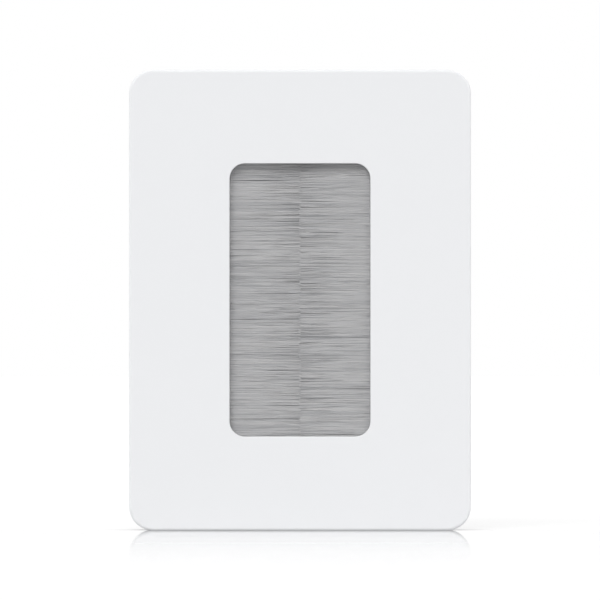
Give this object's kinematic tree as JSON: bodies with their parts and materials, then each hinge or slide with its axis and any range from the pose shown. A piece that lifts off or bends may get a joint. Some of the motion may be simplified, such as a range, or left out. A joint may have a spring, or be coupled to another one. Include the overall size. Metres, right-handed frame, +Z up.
{
  "type": "cable pass-through wall plate",
  "caption": "White rounded screwless wall plate with a window closed by facing strip brushes, which lets cables pass and hides the hole behind.",
  "frame": {"origin": "centre of the plate on the wall surface, where the mounting frame's flat rear face rests", "axes": "+Z up along the plate's height, +X to the right seen from the room, +Y into the wall"},
  "size_m": [0.09, 0.0314, 0.1212],
  "materials": {
    "cover_plastic": "fine satin texture, cool white",
    "frame_plastic": "plain moulded, off-white",
    "channel_metal": "drawn along its length",
    "bristle_nylon": "grey nylon filaments",
    "wire_steel": "bright drawn wire",
    "clamp_steel": "zinc plated strip",
    "screw_steel": "zinc plated"
  },
  "bodies": {
    "root": {"front_cover": "cover_plastic", "mounting_frame": "frame_plastic", "brush_channel_left": "channel_metal", "brush_channel_right": "channel_metal", "bristles_left": "bristle_nylon", "bristles_right": "bristle_nylon", "core_wire_left": "wire_steel", "core_wire_right": "wire_steel", "brush_clamp_left": "clamp_steel", "brush_clamp_right": "clamp_steel", "clamp_screws": "screw_steel", "wall_screws": "screw_steel"}
  },
  "joints": []
}
